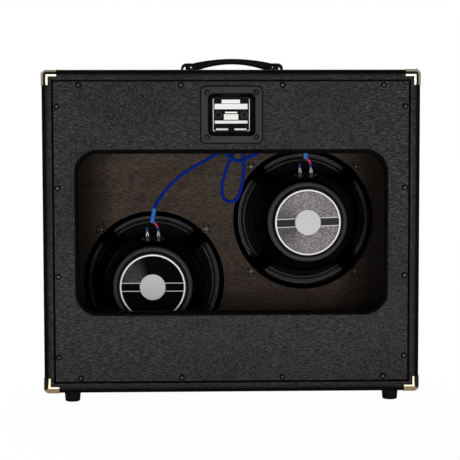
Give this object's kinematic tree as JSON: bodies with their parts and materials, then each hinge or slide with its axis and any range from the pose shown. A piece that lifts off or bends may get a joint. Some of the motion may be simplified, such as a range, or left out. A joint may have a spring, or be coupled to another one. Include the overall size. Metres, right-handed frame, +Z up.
{
  "type": "guitar speaker cabinet",
  "caption": "Open-back guitar speaker cabinet: vinyl-covered plywood box with staggered 12 inch drivers, jack dish, corner caps, feet and strap handle",
  "frame": {"origin": "on the floor under the middle of the cabinet, at the bottom of its feet", "axes": "+Z up, the grille faces -Y, the open back and the jacks face +Y, +X to the right as seen from the front"},
  "size_m": [0.7024, 0.2733, 0.646],
  "materials": {
    "vinyl": "matte",
    "birch_plywood": "matte",
    "stained_plywood": "matte",
    "batten_wood": "matte",
    "black_screw": "satin",
    "zinc_steel": "satin",
    "bright_nickel": "polished",
    "foot_rubber": "matte",
    "grille_wood": "matte",
    "grille_weave": "matte",
    "hook_and_loop": "matte",
    "dish_plastic": "satin",
    "jack_plastic": "satin",
    "tinned_metal": "satin",
    "strap_rubber": "satin",
    "cap_plastic": "gloss",
    "basket_paint": "satin",
    "cone_paper": "matte",
    "doped_paper": "satin",
    "dust_cap_paper": "matte",
    "spider_cloth": "matte",
    "coil_metal": "satin",
    "plate_steel": "satin",
    "ferrite": "matte",
    "gasket_board": "matte",
    "label_print": "gloss",
    "vent_silver": "satin",
    "terminal_board": "satin",
    "sleeve_navy": "satin",
    "cable_blue": "satin",
    "boot_blue": "satin",
    "lead_red": "satin",
    "lead_black": "satin"
  },
  "bodies": {
    "cabinet": {"back_panel": "birch_plywood", "back_panel_covering": "vinyl", "back_panel_screws": "black_screw", "back_panel_washers": "black_screw", "baffle_battens": "batten_wood", "baffle_board": "stained_plywood", "baffle_screws": "zinc_steel", "black_leads": "lead_black", "bottom_board": "birch_plywood", "cable_boots": "boot_blue", "connector_sleeves": "sleeve_navy", "corner_protectors": "bright_nickel", "driver_bolts": "zinc_steel", "driver_labels": "label_print", "feet": "foot_rubber", "foot_screws": "zinc_steel", "gaskets": "gasket_board", "grille_cloth": "grille_weave", "grille_frame": "grille_wood", "grille_pads": "hook_and_loop", "handle_caps": "cap_plastic", "handle_screws": "black_screw", "jack_lugs": "tinned_metal", "jack_nuts": "jack_plastic", "jack_plate": "dish_plastic", "jack_plate_screws": "black_screw", "left_board": "birch_plywood", "left_jack": "jack_plastic", "lower_back_plate": "plate_steel", "lower_basket": "basket_paint", "lower_cable": "cable_blue", "lower_magnet": "ferrite", "lower_spider": "spider_cloth", "lower_surround": "doped_paper", "lower_top_plate": "plate_steel", "push_on_connectors": "tinned_metal", "rear_battens": "batten_wood", "red_leads": "lead_red", "right_board": "birch_plywood", "right_jack": "jack_plastic", "shell_covering": "vinyl", "tee_nuts": "zinc_steel", "terminal_strips": "terminal_board", "terminal_tabs": "tinned_metal", "top_board": "birch_plywood", "upper_back_plate": "plate_steel", "upper_basket": "basket_paint", "upper_cable": "cable_blue", "upper_magnet": "ferrite", "upper_spider": "spider_cloth", "upper_surround": "doped_paper", "upper_top_plate": "plate_steel", "vent_caps": "vent_silver"},
    "upper_cone_body": {"upper_cone": "cone_paper", "upper_dust_cap": "dust_cap_paper", "upper_voice_coil": "coil_metal"},
    "lower_cone_body": {"lower_cone": "cone_paper", "lower_dust_cap": "dust_cap_paper", "lower_voice_coil": "coil_metal"},
    "handle": {"handle_strap": "strap_rubber"}
  },
  "joints": [
    {"name": "upper_cone_travel", "type": "slide", "parent": "cabinet", "child": "upper_cone_body", "axis": [0, -1, 0], "range_m": [-0.0025, 0.0025], "stiffness_N_per_m": 7000, "deforming": ["upper_surround", "upper_spider"]},
    {"name": "lower_cone_travel", "type": "slide", "parent": "cabinet", "child": "lower_cone_body", "axis": [0, -1, 0], "range_m": [-0.0025, 0.0025], "stiffness_N_per_m": 7000, "deforming": ["lower_surround", "lower_spider"]},
    {"name": "handle_lift", "type": "slide", "parent": "cabinet", "child": "handle", "axis": [0, 0, 1], "range_m": [0, 0.006]}
  ]
}
